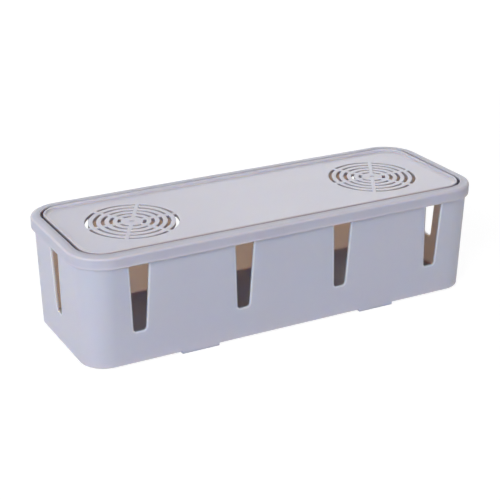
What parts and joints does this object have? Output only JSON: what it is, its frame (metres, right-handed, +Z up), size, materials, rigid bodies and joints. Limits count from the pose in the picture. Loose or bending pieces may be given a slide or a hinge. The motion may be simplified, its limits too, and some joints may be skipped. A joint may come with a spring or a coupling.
{
  "type": "cable management box",
  "caption": "Long low box with rounded corners that hides a power strip: tapered tub with flared cable notches, overhanging rim frame, and an inset lid panel with round slotted vents.",
  "frame": {"origin": "middle of the footprint, on the surface that the feet stand on", "axes": "+X along the length to the right, +Y to the back, +Z up"},
  "size_m": [0.265, 0.095, 0.07],
  "materials": {
    "body_plastic": "satin moulded polypropylene, pale lilac grey",
    "rim_plastic": "satin moulded polypropylene, pale lilac grey",
    "lid_plastic": "satin moulded polypropylene, pale lilac grey"
  },
  "bodies": {
    "tub": {"box_body": "body_plastic"},
    "rim": {"rim_frame": "rim_plastic"},
    "lid": {"lid_panel": "lid_plastic"}
  },
  "joints": [
    {"name": "rim_lift", "type": "slide", "parent": "tub", "child": "rim", "axis": [0, 0, 1], "range_m": [0, 0.05]},
    {"name": "lid_lift", "type": "slide", "parent": "rim", "child": "lid", "axis": [0, 0, 1], "range_m": [0, 0.04]}
  ]
}
